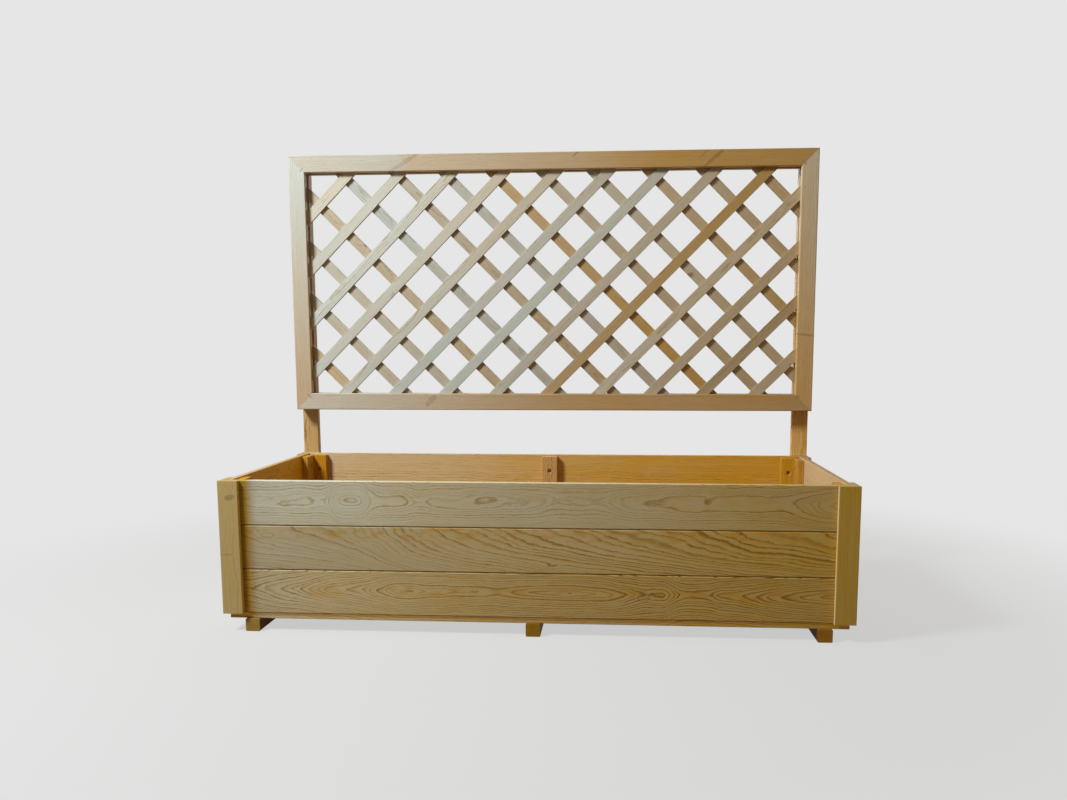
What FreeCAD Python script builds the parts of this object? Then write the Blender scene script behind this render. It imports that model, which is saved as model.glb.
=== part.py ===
"""Trough planter with a lattice trellis.

A long box of tongue-and-groove boards stands on three bearers.  Flat trims
cover its four corners, battens stiffen it inside, and two flat posts on its
rear face carry a mitred, grooved frame with two crossed layers of slats.

Units are millimetres.  X runs along the box, Y runs from the front to the
back and Z is up.  The origin is the centre of the footprint, on the ground.
"""
import FreeCAD, Part
import math
import os

Vector = FreeCAD.Vector

# ---- driving dimensions ---------------------------------------------------

OVERALL_WIDTH = 1200.0        # over the corner trims
BOX_DEPTH = 440.0             # front trim face to rear trim face

BEARER_WIDTH = 28.0
BEARER_HEIGHT = 25.0
BEARER_ARRIS = 1.5

BOARD_THICKNESS = 12.0
BOARD_COVER = 86.4            # height that one board adds to a wall
BOARDS_PER_WALL = 3
TONGUE_LENGTH = 12.0
TONGUE_THICKNESS = 4.0
TONGUE_SETBACK = 4.0          # from the outer face to the tongue
TONGUE_LEAD = 0.8             # chamfer that leads the tongue in
JOINT_CHAMFER = 2.2           # upper outer edge of a board, seen as a V
FACE_ARRIS = 0.9              # lower outer edge of a board
RIM_ARRIS = 0.8               # both edges of a wall's rim

TRIM_WIDTH = 40.0
TRIM_THICKNESS = 9.0
TRIM_ARRIS = 1.2

BATTEN_WIDTH = 36.0
BATTEN_THICKNESS = 15.0
BATTEN_ARRIS = 1.0
BATTEN_DROP = 3.0             # rim to batten top
CORNER_BATTEN_INSET = 9.0     # side wall to the end wall's corner batten

FLOOR_BOARD_WIDTH = 96.0
FLOOR_BOARD_THICKNESS = 12.0
FLOOR_DRAIN_GAP = 4.0         # least gap between two floor boards

POST_WIDTH = 36.0
POST_THICKNESS = 15.0
POST_ARRIS = 1.0

FRAME_GAP = 106.0             # rim to the underside of the trellis frame
FRAME_HEIGHT = 582.0
FRAME_FACE = 38.0             # width of a frame member seen from the front
FRAME_DEPTH = 36.0
FRAME_ARRIS = 1.5
FRAME_GROOVE_DEPTH = 10.0

SLAT_WIDTH = 22.5
SLAT_THICKNESS = 6.0
SLAT_PITCH = 84.8             # between slats, square to their length
SLAT_ANGLE = 45.0             # to the ground, in degrees
SLAT_SHORTEST = 90.0          # a shorter corner piece isn't worth nailing in
FRONT_LAYER_SHIFT = 4.0       # middle slat to the panel's centre
BACK_LAYER_SHIFT = 1.5
# The rear layer was nailed up by eye: how far each slat strays, middle first
# and then outwards, to the left and to the right.
BACK_DRIFT_LEFT = (6.0, 11.0, 6.0, 3.0, 2.0, 2.0, 0.0)
BACK_DRIFT_RIGHT = (6.0, -1.0, -5.0, -8.0, -4.0, -3.0, 0.0)

SCREW_HEAD_DIAMETER = 8.0
SCREW_SHANK_DIAMETER = 4.0
SCREW_SINK = 2.0              # wood surface to the top of the head
SCREW_SIDES = 10              # flats that stand for the round of a screw or hole
BATTEN_SCREW_LENGTH = 22.0
POST_WALL_SCREW_LENGTH = 32.0
POST_FRAME_SCREW_LENGTH = 30.0
FLOOR_SCREW_LENGTH = 26.0
BATTEN_SCREW_BELOW_EDGE = 37.0        # each board's top edge to its screw
SIDE_SCREW_BELOW_EDGE = 27.0
SIDE_SCREW_FROM_CORNER = 10.0         # corner batten's face to the side screw
POST_SCREW_END = 45.0                 # least distance of a screw from an edge

STAPLE_CROWN = 11.0
STAPLE_WIRE = 1.4
STAPLE_LEG = 14.0
STAPLE_FROM_CORNER = 9.0              # inner corner to staple, along the mitre

# ---- clearances -----------------------------------------------------------

GROOVE_SIDE_CLEARANCE = 0.3
GROOVE_END_CLEARANCE = 1.0
SLAT_SIDE_CLEARANCE = 0.2
SLAT_END_CLEARANCE = 0.3
FLOOR_END_CLEARANCE = 0.3
SCREW_CLEARANCE = 0.2
STAPLE_CLEARANCE = 0.1

# ---- derived levels and planes --------------------------------------------

Z_FLOOR_TOP = BEARER_HEIGHT + FLOOR_BOARD_THICKNESS
Z_WALL = BEARER_HEIGHT + TONGUE_LENGTH
WALL_HEIGHT = BOARDS_PER_WALL * BOARD_COVER
Z_RIM = Z_WALL + WALL_HEIGHT
Z_FRAME = Z_RIM + FRAME_GAP
Z_TOP = Z_FRAME + FRAME_HEIGHT

HALF_WIDTH = OVERALL_WIDTH / 2
HALF_DEPTH = (BOX_DEPTH + POST_THICKNESS) / 2

X_WALL_OUT = HALF_WIDTH - TRIM_THICKNESS
X_WALL_IN = X_WALL_OUT - BOARD_THICKNESS
X_SIDE_BATTEN = X_WALL_IN - BATTEN_THICKNESS
X_BEARER_OUT = HALF_WIDTH - TRIM_WIDTH
X_CORNER_BATTEN_OUT = X_WALL_IN - CORNER_BATTEN_INSET

Y_FRONT = -HALF_DEPTH
Y_FRONT_WALL_OUT = Y_FRONT + TRIM_THICKNESS
Y_FRONT_WALL_IN = Y_FRONT_WALL_OUT + BOARD_THICKNESS
Y_POST_FRONT = Y_FRONT + BOX_DEPTH
Y_BACK_WALL_OUT = Y_POST_FRONT - TRIM_THICKNESS
Y_BACK_WALL_IN = Y_BACK_WALL_OUT - BOARD_THICKNESS
Y_REAR = Y_POST_FRONT + POST_THICKNESS
Y_FRAME_FRONT = Y_POST_FRONT - FRAME_DEPTH
Y_FRAME_MIDDLE = Y_POST_FRONT - FRAME_DEPTH / 2

FRONT_BATTEN_FACE = Y_FRONT_WALL_IN + BATTEN_THICKNESS
BACK_BATTEN_FACE = Y_BACK_WALL_IN - BATTEN_THICKNESS
Z_BATTEN_TOP = Z_RIM - BATTEN_DROP

FRAME_CENTRE = Vector(0, Y_FRAME_MIDDLE, Z_FRAME + FRAME_HEIGHT / 2)
FRAME_GROOVE_WIDTH = 2 * SLAT_THICKNESS + 2 * SLAT_SIDE_CLEARANCE
SLAT_REACH = FRAME_GROOVE_DEPTH - SLAT_END_CLEARANCE
LATTICE_WIDTH = OVERALL_WIDTH - 2 * FRAME_FACE + 2 * SLAT_REACH
LATTICE_HEIGHT = FRAME_HEIGHT - 2 * FRAME_FACE + 2 * SLAT_REACH

SCREW_HEAD_HEIGHT = (SCREW_HEAD_DIAMETER - SCREW_SHANK_DIAMETER) / 2

BOARD_NAMES = ("bottom", "middle", "top")
ALONG_X = Vector(1, 0, 0)
ALONG_Y = Vector(0, 1, 0)
ALONG_Z = Vector(0, 0, 1)


# ---- basic forms ----------------------------------------------------------

def block(x, y, z):
    """Box between two x values, two y values and two z values."""
    size = [high - low for low, high in (x, y, z)]
    return Part.makeBox(*size, Vector(x[0], y[0], z[0]))


def prism(outline, run):
    """Solid swept from a closed outline of points along a vector."""
    face = Part.Face(Part.makePolygon(outline + outline[:1]))
    return face.extrude(run)


def bar_outline(width, thickness, arris):
    """Rectangle (across, in) whose four corners are chamfered."""
    return [
        (arris, 0),
        (width - arris, 0),
        (width, arris),
        (width, thickness - arris),
        (width - arris, thickness),
        (arris, thickness),
        (0, thickness - arris),
        (0, arris),
    ]


def upright(x, y, z, arris):
    """Vertical bar with eased long edges."""
    outline = bar_outline(x[1] - x[0], y[1] - y[0], arris)
    points = [Vector(x[0] + across, y[0] + depth, z[0]) for across, depth in outline]
    return prism(points, ALONG_Z * (z[1] - z[0]))


def mirror_x(shape):
    """The same piece on the other side of the box."""
    return shape.mirror(Vector(0, 0, 0), ALONG_X)


# ---- screws ---------------------------------------------------------------

def turned(start, along, profile):
    """Solid turned about an axis, from (depth, radius) pairs, with flat sides."""
    across = ALONG_X if abs(along.x) < 0.5 else ALONG_Y
    other = along.cross(across)
    angles = [2 * math.pi * (side + 0.5) / SCREW_SIDES for side in range(SCREW_SIDES)]
    rings = []
    for depth, radius in profile:
        centre = start + along * depth
        ring = [
            centre + across * (radius * math.cos(angle)) + other * (radius * math.sin(angle))
            for angle in angles
        ]
        rings.append(ring)
    outlines = [rings[0], rings[-1]]
    for low, high in zip(rings, rings[1:]):
        for side in range(SCREW_SIDES):
            after = (side + 1) % SCREW_SIDES
            outlines.append([low[side], low[after], high[after], high[side]])
    faces = [Part.Face(Part.makePolygon(points + points[:1])) for points in outlines]
    return Part.makeSolid(Part.makeShell(faces))


def screw(surface, inward, length):
    """Countersunk screw sunk below a wood surface."""
    head_radius = SCREW_HEAD_DIAMETER / 2
    shank_radius = SCREW_SHANK_DIAMETER / 2
    profile = [
        (SCREW_SINK, head_radius),
        (SCREW_SINK + SCREW_HEAD_HEIGHT, shank_radius),
        (SCREW_SINK + length, shank_radius),
    ]
    return turned(surface, inward, profile)


def screw_hole(surface, inward, length):
    """The wood that such a screw takes out, with a countersunk mouth."""
    mouth_radius = SCREW_HEAD_DIAMETER / 2 + SCREW_CLEARANCE + SCREW_SINK
    pilot_radius = SCREW_SHANK_DIAMETER / 2 + SCREW_CLEARANCE
    profile = [
        (0, mouth_radius),
        (mouth_radius - pilot_radius, pilot_radius),
        (SCREW_SINK + length + SCREW_CLEARANCE, pilot_radius),
    ]
    return turned(surface, inward, profile)


class ScrewRow:
    """Screws of one kind, and the holes that they make."""

    def __init__(self, inward, length, places):
        self.screws = [screw(place, inward, length) for place in places]
        self.holes = [screw_hole(place, inward, length) for place in places]


# ---- walls ----------------------------------------------------------------

def board_outline(is_top):
    """Section of one wall board as (in from the outer face, up).

    The tongue points down.  The top board is planed flat instead of grooved.
    """
    tongue_in = TONGUE_SETBACK + TONGUE_THICKNESS
    points = [
        (0, FACE_ARRIS),
        (FACE_ARRIS, 0),
        (TONGUE_SETBACK, 0),
        (TONGUE_SETBACK, TONGUE_LEAD - TONGUE_LENGTH),
        (TONGUE_SETBACK + TONGUE_LEAD, -TONGUE_LENGTH),
        (tongue_in - TONGUE_LEAD, -TONGUE_LENGTH),
        (tongue_in, TONGUE_LEAD - TONGUE_LENGTH),
        (tongue_in, 0),
        (BOARD_THICKNESS, 0),
    ]
    if is_top:
        points += [
            (BOARD_THICKNESS, BOARD_COVER - RIM_ARRIS),
            (BOARD_THICKNESS - RIM_ARRIS, BOARD_COVER),
            (RIM_ARRIS, BOARD_COVER),
            (0, BOARD_COVER - RIM_ARRIS),
        ]
        return points
    groove_floor = BOARD_COVER - TONGUE_LENGTH - GROOVE_END_CLEARANCE
    groove_out = TONGUE_SETBACK - GROOVE_SIDE_CLEARANCE
    groove_in = tongue_in + GROOVE_SIDE_CLEARANCE
    points += [
        (BOARD_THICKNESS, BOARD_COVER),
        (groove_in, BOARD_COVER),
        (groove_in, groove_floor),
        (groove_out, groove_floor),
        (groove_out, BOARD_COVER),
        (JOINT_CHAMFER, BOARD_COVER),
        (0, BOARD_COVER - JOINT_CHAMFER),
    ]
    return points


def wall_boards(start, inward, run):
    """The boards of one wall, bottom first, from the foot of its outer face."""
    boards = []
    for course in range(BOARDS_PER_WALL):
        foot = start + ALONG_Z * (course * BOARD_COVER)
        outline = board_outline(course == BOARDS_PER_WALL - 1)
        points = [foot + inward * depth + ALONG_Z * up for depth, up in outline]
        boards.append(prism(points, run))
    return boards


def end_wall(y_out, inward):
    """Front or back wall, which covers the ends of the side walls."""
    start = Vector(-X_WALL_OUT, y_out, Z_WALL)
    return wall_boards(start, inward, ALONG_X * (2 * X_WALL_OUT))


def left_wall():
    """Side wall, between the front wall and the back wall."""
    start = Vector(-X_WALL_OUT, Y_FRONT_WALL_IN, Z_WALL)
    run = ALONG_Y * (Y_BACK_WALL_IN - Y_FRONT_WALL_IN)
    return wall_boards(start, ALONG_X, run)


# ---- corners, floor and bearers -------------------------------------------

def left_trims():
    """Trims of the two left corners; the end trims cover the side trims."""
    height = (Z_WALL, Z_RIM)
    end_x = (-HALF_WIDTH, -HALF_WIDTH + TRIM_WIDTH)
    side_x = (-HALF_WIDTH, -X_WALL_OUT)
    return {
        "front_trim": upright(end_x, (Y_FRONT, Y_FRONT_WALL_OUT), height, TRIM_ARRIS),
        "rear_trim": upright(end_x, (Y_BACK_WALL_OUT, Y_POST_FRONT), height, TRIM_ARRIS),
        "side_trim_front": upright(
            side_x, (Y_FRONT_WALL_OUT, Y_FRONT_WALL_OUT + TRIM_WIDTH), height, TRIM_ARRIS
        ),
        "side_trim_rear": upright(
            side_x, (Y_BACK_WALL_OUT - TRIM_WIDTH, Y_BACK_WALL_OUT), height, TRIM_ARRIS
        ),
    }


def bearer(x_middle):
    """Runner under the box, flush with the outer faces of both end walls."""
    outline = bar_outline(BEARER_WIDTH, BEARER_HEIGHT, BEARER_ARRIS)
    x_low = x_middle - BEARER_WIDTH / 2
    points = [Vector(x_low + across, Y_FRONT_WALL_OUT, up) for across, up in outline]
    return prism(points, ALONG_Y * (Y_BACK_WALL_OUT - Y_FRONT_WALL_OUT))


def bearer_places():
    """Middle of each bearer; the outer ones start where the trims end."""
    outer = X_BEARER_OUT - BEARER_WIDTH / 2
    return {"bearer_left": -outer, "bearer_centre": 0.0, "bearer_right": outer}


def floor_rows():
    """Front edge of each floor board.

    The first and last boards lie against the end walls, under the battens, and
    the room that is left over drains between the boards.
    """
    start = Y_FRONT_WALL_IN + FLOOR_END_CLEARANCE
    room = Y_BACK_WALL_IN - FLOOR_END_CLEARANCE - start
    count = int((room + FLOOR_DRAIN_GAP) // (FLOOR_BOARD_WIDTH + FLOOR_DRAIN_GAP))
    step = (room - FLOOR_BOARD_WIDTH) / (count - 1)
    return [start + row * step for row in range(count)]


def floor_board(y_front):
    """One plank of the floor, laid across the bearers."""
    half = X_WALL_IN - FLOOR_END_CLEARANCE
    return block(
        (-half, half), (y_front, y_front + FLOOR_BOARD_WIDTH), (BEARER_HEIGHT, Z_FLOOR_TOP)
    )


# ---- battens --------------------------------------------------------------

def end_batten(x_middle, y):
    """Batten on the inside of the front or back wall."""
    x = (x_middle - BATTEN_WIDTH / 2, x_middle + BATTEN_WIDTH / 2)
    return upright(x, y, (Z_FLOOR_TOP, Z_BATTEN_TOP), BATTEN_ARRIS)


def left_side_batten(y_low):
    """Batten on the inside of the left wall, against a corner batten."""
    x = (-X_WALL_IN, -X_SIDE_BATTEN)
    return upright(x, (y_low, y_low + BATTEN_WIDTH), (Z_FLOOR_TOP, Z_BATTEN_TOP), BATTEN_ARRIS)


def screw_levels(below_edge):
    """Height of a batten's screws, one in each board."""
    return [Z_WALL + (course + 1) * BOARD_COVER - below_edge for course in range(BOARDS_PER_WALL)]


def end_batten_screws(x_places, y_face, inward):
    """Screws through the battens of the front or back wall."""
    levels = screw_levels(BATTEN_SCREW_BELOW_EDGE)
    places = [Vector(x, y_face, z) for x in x_places for z in levels]
    return ScrewRow(inward, BATTEN_SCREW_LENGTH, places)


def side_batten_screws(side, y_places):
    """Screws through the battens of one side wall; side is -1 or 1."""
    levels = screw_levels(SIDE_SCREW_BELOW_EDGE)
    places = [Vector(side * X_SIDE_BATTEN, y, z) for y in y_places for z in levels]
    return ScrewRow(ALONG_X * side, BATTEN_SCREW_LENGTH, places)


# ---- posts and trellis frame ----------------------------------------------

def left_post():
    """Flat post on the rear trim, behind the whole height of the trellis."""
    x = (-HALF_WIDTH, -HALF_WIDTH + POST_WIDTH)
    return upright(x, (Y_POST_FRONT, Y_REAR), (Z_WALL, Z_TOP), POST_ARRIS)


def post_screws(x_middle):
    """Screws through one post from behind, into the box and into the stile."""
    wall_levels = (Z_WALL + POST_SCREW_END, Z_RIM - POST_SCREW_END)
    frame_levels = (Z_FRAME + POST_SCREW_END, FRAME_CENTRE.z, Z_TOP - POST_SCREW_END)
    into_wall = [Vector(x_middle, Y_REAR, z) for z in wall_levels]
    into_frame = [Vector(x_middle, Y_REAR, z) for z in frame_levels]
    return [
        ScrewRow(-ALONG_Y, POST_WALL_SCREW_LENGTH, into_wall),
        ScrewRow(-ALONG_Y, POST_FRAME_SCREW_LENGTH, into_frame),
    ]


def frame_outline():
    """Section of a frame member as (in from the outer edge, back)."""
    groove_low = (FRAME_DEPTH - FRAME_GROOVE_WIDTH) / 2
    groove_high = (FRAME_DEPTH + FRAME_GROOVE_WIDTH) / 2
    groove_floor = FRAME_FACE - FRAME_GROOVE_DEPTH
    return [
        (FRAME_ARRIS, 0),
        (FRAME_FACE - FRAME_ARRIS, 0),
        (FRAME_FACE, FRAME_ARRIS),
        (FRAME_FACE, groove_low),
        (groove_floor, groove_low),
        (groove_floor, groove_high),
        (FRAME_FACE, groove_high),
        (FRAME_FACE, FRAME_DEPTH),
        (0, FRAME_DEPTH),
        (0, FRAME_ARRIS),
    ]


def mitred(bar, outer, along, inward, length):
    """Cut both ends of a frame bar at 45 degrees, longest at its outer edge."""
    outline = [
        outer,
        outer + along * length,
        outer + along * (length - FRAME_FACE) + inward * FRAME_FACE,
        outer + along * FRAME_FACE + inward * FRAME_FACE,
    ]
    return bar.common(prism(outline, ALONG_Y * FRAME_DEPTH))


def frame_member(outer, along, inward, length):
    """Grooved and mitred member from its outer front corner."""
    points = [outer + inward * across + ALONG_Y * back for across, back in frame_outline()]
    return mitred(prism(points, along * length), outer, along, inward, length)


def frame_members():
    """The four members of the trellis frame."""
    low_left = Vector(-HALF_WIDTH, Y_FRAME_FRONT, Z_FRAME)
    high_left = Vector(-HALF_WIDTH, Y_FRAME_FRONT, Z_TOP)
    low_right = Vector(HALF_WIDTH, Y_FRAME_FRONT, Z_FRAME)
    return {
        "bottom_rail": frame_member(low_left, ALONG_X, ALONG_Z, OVERALL_WIDTH),
        "top_rail": frame_member(high_left, ALONG_X, -ALONG_Z, OVERALL_WIDTH),
        "left_stile": frame_member(low_left, ALONG_Z, ALONG_X, FRAME_HEIGHT),
        "right_stile": frame_member(low_right, ALONG_Z, -ALONG_X, FRAME_HEIGHT),
    }


def staple(side, level, grow):
    """Staple across one mitre; side and level are -1 or 1, grow widens it."""
    wire = STAPLE_WIRE + 2 * grow
    half_crown = STAPLE_CROWN / 2 + grow
    crown = block((-half_crown, half_crown), (-grow, STAPLE_WIRE + grow), (-wire / 2, wire / 2))
    legs = [
        block(
            (x - wire / 2, x + wire / 2),
            (-grow, STAPLE_LEG + grow),
            (-wire / 2, wire / 2),
        )
        for x in (-(STAPLE_CROWN - STAPLE_WIRE) / 2, (STAPLE_CROWN - STAPLE_WIRE) / 2)
    ]
    shape = crown.fuse(legs).removeSplitter()
    shape.rotate(Vector(0, 0, 0), ALONG_Y, side * level * 45)
    from_edge = FRAME_FACE - STAPLE_FROM_CORNER / math.sqrt(2)
    x = side * (HALF_WIDTH - from_edge)
    z = FRAME_CENTRE.z + level * (FRAME_HEIGHT / 2 - from_edge)
    shape.translate(Vector(x, Y_FRAME_FRONT, z))
    return shape


# ---- lattice --------------------------------------------------------------

def layer_panel(is_front):
    """The thin panel that one layer of slats fills out to the grooves."""
    y_low = Y_FRAME_MIDDLE - SLAT_THICKNESS if is_front else Y_FRAME_MIDDLE
    half_width = LATTICE_WIDTH / 2
    z_low = FRAME_CENTRE.z - LATTICE_HEIGHT / 2
    return block(
        (-half_width, half_width),
        (y_low, y_low + SLAT_THICKNESS),
        (z_low, z_low + LATTICE_HEIGHT),
    )


def slat(is_front, offset):
    """One slat, cut to the panel; offset is square to its length."""
    reach = LATTICE_WIDTH + LATTICE_HEIGHT
    strip = block(
        (-reach, reach),
        (-2 * SLAT_THICKNESS, 2 * SLAT_THICKNESS),
        (-SLAT_WIDTH / 2, SLAT_WIDTH / 2),
    )
    lean = -SLAT_ANGLE if is_front else SLAT_ANGLE
    down = -1 if is_front else 1
    strip.translate(ALONG_Z * (down * offset))
    strip.rotate(Vector(0, 0, 0), ALONG_Y, lean)
    strip.translate(FRAME_CENTRE)
    return strip.common(layer_panel(is_front))


def layer_offset(is_front, step):
    """Offset of the slat that lies so many steps right of the middle one."""
    if is_front:
        return FRONT_LAYER_SHIFT + step * SLAT_PITCH
    drift = BACK_DRIFT_LEFT if step < 0 else BACK_DRIFT_RIGHT
    stray = drift[min(abs(step), len(drift) - 1)]
    return BACK_LAYER_SHIFT + step * SLAT_PITCH + stray


def layer_slats(is_front):
    """Slats of one layer as full-length ones, left ones and right ones.

    A full-length slat runs from the top rail to the bottom rail.  The others
    end at a stile and are listed from the middle out to the corner.
    """
    angle = math.radians(SLAT_ANGLE)
    corner = LATTICE_WIDTH / 2 * math.sin(angle) + LATTICE_HEIGHT / 2 * math.cos(angle)
    full = LATTICE_WIDTH / 2 * math.sin(angle) - LATTICE_HEIGHT / 2 * math.cos(angle)
    steps = int(corner // SLAT_PITCH) + 1
    groups = {"full": [], "left": [], "right": []}
    for step in sorted(range(-steps, steps + 1), key=abs):
        offset = layer_offset(is_front, step)
        if 2 * (corner - abs(offset)) < SLAT_SHORTEST:
            continue
        whole = abs(offset) + SLAT_WIDTH / 2 <= full
        side = "full" if whole else "left" if offset < 0 else "right"
        groups[side].append(slat(is_front, offset))
    return groups


# ---- assembly -------------------------------------------------------------

def drill(piece, rows):
    """Cut from a piece every hole that reaches it."""
    holes = [hole for row in rows for hole in row.holes]
    reaching = [hole for hole in holes if hole.BoundBox.intersect(piece.BoundBox)]
    return piece.cut(reaching) if reaching else piece


def build_box(nodes):
    """Walls, trims, bearers and floor, before any hole is drilled."""
    walls = {
        "front": end_wall(Y_FRONT_WALL_OUT, ALONG_Y),
        "back": end_wall(Y_BACK_WALL_OUT, -ALONG_Y),
        "left": left_wall(),
        "right": [mirror_x(board) for board in left_wall()],
    }
    for wall, boards in walls.items():
        for course, board in enumerate(boards):
            level = BOARD_NAMES[course] if course < len(BOARD_NAMES) else f"course_{course + 1}"
            nodes[f"{wall}_board_{level}"] = [board]
    for name, trim in left_trims().items():
        nodes[f"{name}_left"] = [trim]
        nodes[f"{name}_right"] = [mirror_x(trim)]
    for name, x_middle in bearer_places().items():
        nodes[name] = [bearer(x_middle)]
    nodes["floor_boards"] = [floor_board(y_front) for y_front in floor_rows()]


def build_battens(nodes):
    """Battens of all four walls, and the screws that hold them."""
    corner = X_CORNER_BATTEN_OUT - BATTEN_WIDTH / 2
    places = {"left": -corner, "centre": 0.0, "right": corner}
    front = (Y_FRONT_WALL_IN, FRONT_BATTEN_FACE)
    back = (BACK_BATTEN_FACE, Y_BACK_WALL_IN)
    nodes["front_battens"] = [end_batten(x, front) for x in places.values()]
    for name, x_middle in places.items():
        nodes[f"back_batten_{name}"] = [end_batten(x_middle, back)]
    sides = {"front": FRONT_BATTEN_FACE, "rear": BACK_BATTEN_FACE - BATTEN_WIDTH}
    for name, y_low in sides.items():
        nodes[f"side_batten_{name}_left"] = [left_side_batten(y_low)]
        nodes[f"side_batten_{name}_right"] = [mirror_x(left_side_batten(y_low))]
    side_screw_places = [
        FRONT_BATTEN_FACE + SIDE_SCREW_FROM_CORNER,
        BACK_BATTEN_FACE - SIDE_SCREW_FROM_CORNER,
    ]
    return [
        end_batten_screws(places.values(), FRONT_BATTEN_FACE, -ALONG_Y),
        end_batten_screws(places.values(), BACK_BATTEN_FACE, ALONG_Y),
        side_batten_screws(-1, side_screw_places),
        side_batten_screws(1, side_screw_places),
    ]


def build_floor_screws():
    """One screw through each floor board into each bearer."""
    places = [
        Vector(x, y_front + FLOOR_BOARD_WIDTH / 2, Z_FLOOR_TOP)
        for x in bearer_places().values()
        for y_front in floor_rows()
    ]
    return [ScrewRow(-ALONG_Z, FLOOR_SCREW_LENGTH, places)]


def build_trellis(nodes):
    """Posts, frame, staples and both layers of slats."""
    nodes["post_left"] = [left_post()]
    nodes["post_right"] = [mirror_x(left_post())]
    mitres = [(side, level) for side in (-1, 1) for level in (-1, 1)]
    slots = [staple(side, level, STAPLE_CLEARANCE) for side, level in mitres]
    for name, member in frame_members().items():
        nodes[f"trellis_{name}"] = [member.cut(slots)]
    nodes["corner_staples"] = [staple(side, level, 0.0) for side, level in mitres]
    for layer in ("front", "back"):
        groups = layer_slats(layer == "front")
        nodes[f"{layer}_slats_full_length"] = groups["full"]
        for side in ("left", "right"):
            for number, piece in enumerate(groups[side], start=1):
                nodes[f"{layer}_slat_{side}_{number}"] = [piece]
    x_post = HALF_WIDTH - POST_WIDTH / 2
    return post_screws(-x_post) + post_screws(x_post)


def build():
    """Every node of the planter as a list of solids."""
    nodes = {}
    build_box(nodes)
    rows = {
        "batten_screws": build_battens(nodes),
        "floor_screws": build_floor_screws(),
        "post_screws": build_trellis(nodes),
    }
    every_row = [row for group in rows.values() for row in group]
    drilled = {
        name: [drill(piece, every_row) for piece in pieces] for name, pieces in nodes.items()
    }
    for name, group in rows.items():
        drilled[name] = [piece for row in group for piece in row.screws]
    return drilled


def main():
    """Write one file for each node."""
    os.makedirs("parts", exist_ok=True)
    for name, pieces in build().items():
        solids = [solid for piece in pieces for solid in piece.Solids]
        shape = solids[0] if len(solids) == 1 else Part.makeCompound(solids)
        shape.exportStep(f"parts/{name}.step")


main()
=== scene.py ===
"""Looks of the trough planter with its lattice trellis.

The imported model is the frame.  Every piece of timber gets its own cut of pine,
with growth rings that run through it in three dimensions, knots and fibres.
"""

import math
import random
from dataclasses import dataclass
from typing import NamedTuple

import bpy
from bpy.props import FloatProperty, FloatVectorProperty, PointerProperty
from mathutils import Matrix, Vector


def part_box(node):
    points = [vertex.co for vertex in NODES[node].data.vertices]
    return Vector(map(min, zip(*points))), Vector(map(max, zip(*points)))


bl_info = {
    "name": "Trough planter with trellis",
    "version": (1, 0, 0),
    "blender": (4, 5, 0),
    "location": "3D View > Sidebar > Planter",
    "description": "Finishes the timber, fastenings and studio of a planter with a trellis",
    "category": "Object",
}

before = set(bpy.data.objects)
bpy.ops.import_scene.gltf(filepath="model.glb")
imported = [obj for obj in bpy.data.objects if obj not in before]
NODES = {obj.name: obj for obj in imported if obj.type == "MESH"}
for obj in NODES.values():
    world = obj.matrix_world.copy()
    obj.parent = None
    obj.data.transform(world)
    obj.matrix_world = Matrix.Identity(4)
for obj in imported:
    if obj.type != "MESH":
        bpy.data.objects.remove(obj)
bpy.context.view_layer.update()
MM = 0.001
TO_MM = (1000.0,) * 3
HALF_WIDTH = 600.0             # half the planter, in mm

# Rows are the directions along the grain, into the piece and across it.
ALONG_X = ((1, 0, 0), (0, 1, 0), (0, 0, 1))
ALONG_Y = ((0, 1, 0), (-1, 0, 0), (0, 0, 1))
UPRIGHT = ((0, 0, 1), (0, 1, 0), (-1, 0, 0))
UPRIGHT_ON_SIDE = ((0, 0, 1), (1, 0, 0), (0, 1, 0))
FLAT = ((1, 0, 0), (0, 0, -1), (0, 1, 0))
HALF = math.sqrt(0.5)
RISING = ((HALF, 0, HALF), (0, 1, 0), (-HALF, 0, HALF))
FALLING = ((HALF, 0, -HALF), (0, 1, 0), (HALF, 0, HALF))

SLAT_PITCH = 84.8
SHOULDER = -37.2               # a board's lower shoulder, in mm from its middle

STRAW = (0.465, 0.455, 0.375)
GOLD = (0.455, 0.292, 0.063)
STRAW_LINE = (0.43, 0.36, 0.20)
GOLD_LINE = (0.46, 0.225, 0.012)
KNOT_WOOD = (0.13, 0.05, 0.010)

# What one unit of redness or of rosiness adds to each part of a colour.
RED_GOLD = (0.25, -0.12, -0.5)
ROSY_GOLD = (0.04, -0.055, 0.5)
ROSY_STRAW = (0.0, -0.03, 0.03)

# Least and greatest value of each kind of curve that is drawn through points.
WARMTHS = (-0.3, 1.4)
TONES = (0.0, 2.0)
FIGURES = (0.0, 3.0)
TURNS = (0.0, 40.0)
DEPTHS = (0.0, 60.0)
SLAT_LOOKS = (-0.5, 1.5)

# Cells of each noise, in mm along the grain, into the piece and across it.
BROAD = (110.0, 60.0, 36.0)
MIDDLING = (24.0, 14.0, 10.0)
CLOSE = (8.0, 5.0, 2.6)
PATCH = (34.0, 20.0, 9.0)
FIBRE = (60.0, 1.1, 0.9)
STREAK = (120.0, 9.0, 5.0)
DASH = (7.0, 0.5, 0.42)
CLOUD = (210.0, 90.0, 55.0)
RESIN = (36.0, 20.0, 12.0)
WOBBLE = (6.0, 6.0, 6.0)

# Warmth and tone of each front slat, from the upper left one to the lower right one.
FRONT_SLATS = (
    (0.11, 1.10), (-0.03, 1.10), (-0.08, 1.10), (0.05, 1.08), (0.16, 1.06), (-0.03, 1.01),
    (-0.13, 1.03), (0.19, 0.98), (0.76, 0.90), (0.35, 1.08), (0.49, 0.98), (0.62, 0.86),
    (0.49, 1.04),
)
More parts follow.
